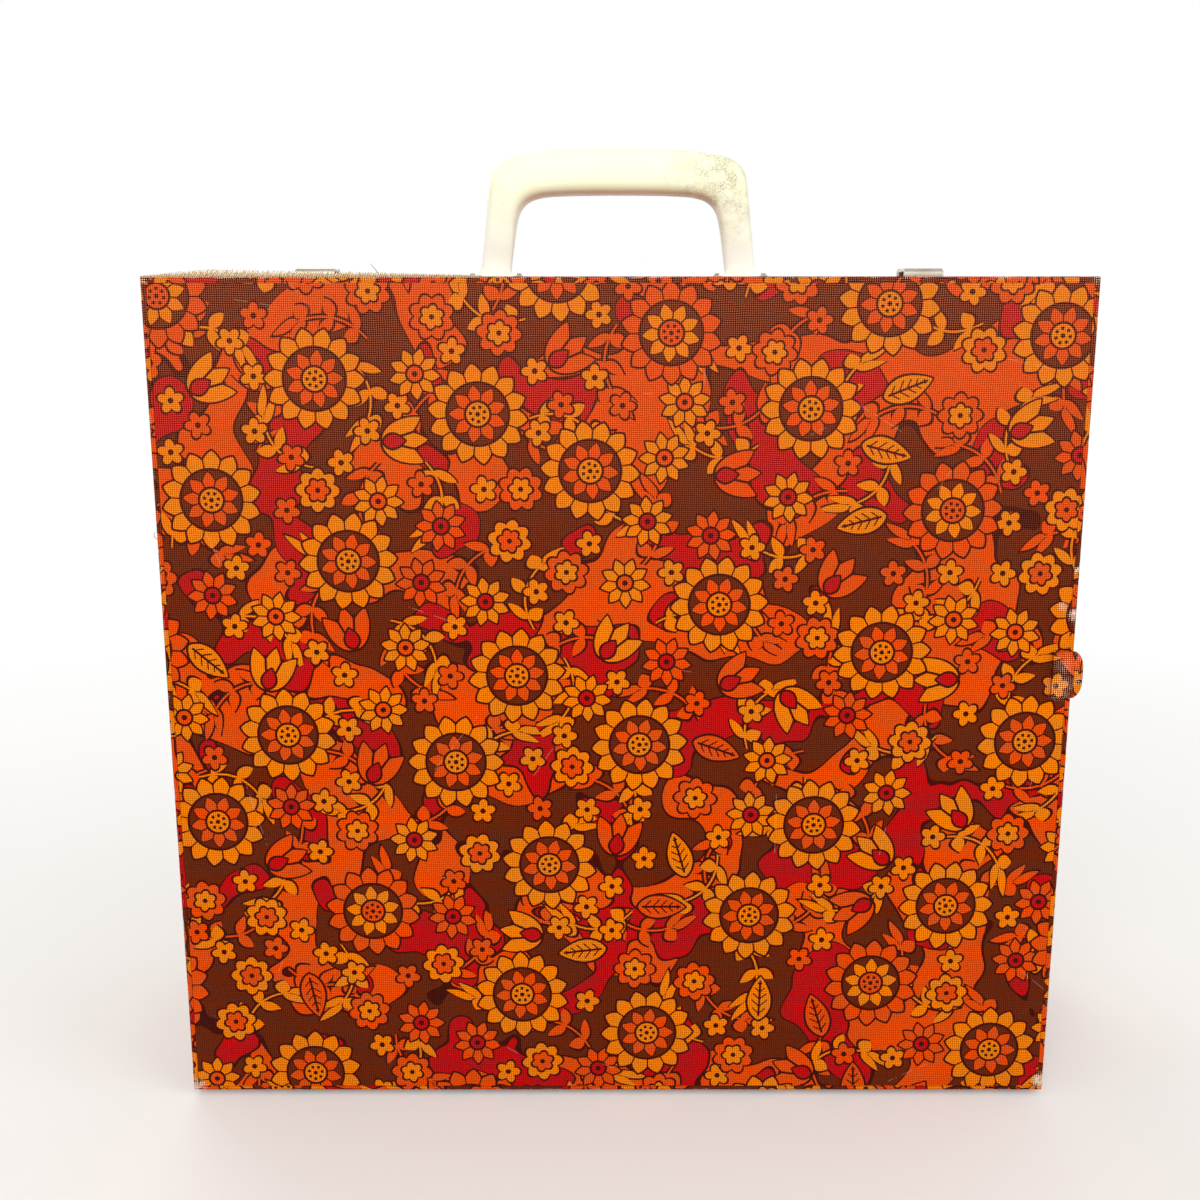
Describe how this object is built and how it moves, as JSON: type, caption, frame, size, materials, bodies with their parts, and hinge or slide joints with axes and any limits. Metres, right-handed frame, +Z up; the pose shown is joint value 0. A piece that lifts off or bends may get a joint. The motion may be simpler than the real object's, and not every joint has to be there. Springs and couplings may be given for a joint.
{
  "type": "record carrying case",
  "caption": "Upright covered carrying case for long-playing records, with a front lid hinged at the bottom, snap latches and a folding top handle.",
  "frame": {"origin": "on the table, below the middle of the closed case", "axes": "+X to the viewer's right, +Y from the lid to the back of the base, +Z up towards the handle"},
  "size_m": [0.3584, 0.1205, 0.3874],
  "materials": {
    "board": "raw fibreboard",
    "side_covering": "printed coated cloth with a linen grain, satin",
    "face_covering": "printed coated cloth with a linen grain, satin",
    "lining": "matt paper",
    "strip": "matt board",
    "nickel": "satin nickel plate",
    "handle": "moulded, half gloss"
  },
  "bodies": {
    "base": {"base_back_board": "board", "base_top_wall": "board", "base_bottom_wall": "board", "base_left_wall": "board", "base_right_wall": "board", "base_side_cloth": "side_covering", "base_back_sheet": "face_covering", "base_lining": "lining", "locating_strips": "strip", "feet": "nickel", "left_backing_plate": "nickel", "right_backing_plate": "nickel", "left_handle_bracket": "nickel", "right_handle_bracket": "nickel", "left_handle_pin": "nickel", "right_handle_pin": "nickel", "handle_rivets": "nickel", "left_latch_plate": "nickel", "right_latch_plate": "nickel", "left_latch_pin": "nickel", "right_latch_pin": "nickel", "latch_plate_rivets": "nickel", "left_base_leaf": "nickel", "right_base_leaf": "nickel", "left_hinge_pin": "nickel", "right_hinge_pin": "nickel", "base_leaf_rivets": "nickel"},
    "lid": {"lid_front_board": "board", "lid_top_wall": "board", "lid_bottom_wall": "board", "lid_left_wall": "board", "lid_right_wall": "board", "lid_side_cloth": "side_covering", "lid_front_sheet": "face_covering", "lid_lining": "lining", "finger_tab": "side_covering", "left_keeper": "nickel", "right_keeper": "nickel", "keeper_rivets": "nickel", "left_lid_leaf": "nickel", "right_lid_leaf": "nickel", "lid_leaf_rivets": "nickel"},
    "left_hasp": {"left_hasp": "nickel"},
    "right_hasp": {"right_hasp": "nickel"},
    "handle": {"handle": "handle"}
  },
  "joints": [
    {"name": "lid_hinge", "type": "hinge", "parent": "base", "child": "lid", "pos_m": [0, -0.026, 0.0018], "axis": [1, 0, 0], "range_deg": [0, 150]},
    {"name": "left_hasp_hinge", "type": "hinge", "parent": "base", "child": "left_hasp", "pos_m": [-0.119, -0.018, 0.3362], "axis": [-1, 0, 0], "range_deg": [0, 130]},
    {"name": "right_hasp_hinge", "type": "hinge", "parent": "base", "child": "right_hasp", "pos_m": [0.119, -0.018, 0.3362], "axis": [-1, 0, 0], "range_deg": [0, 130]},
    {"name": "handle_hinge", "type": "hinge", "parent": "base", "child": "handle", "pos_m": [0, 0, 0.3358], "axis": [1, 0, 0], "range_deg": [-80, 80]}
  ]
}
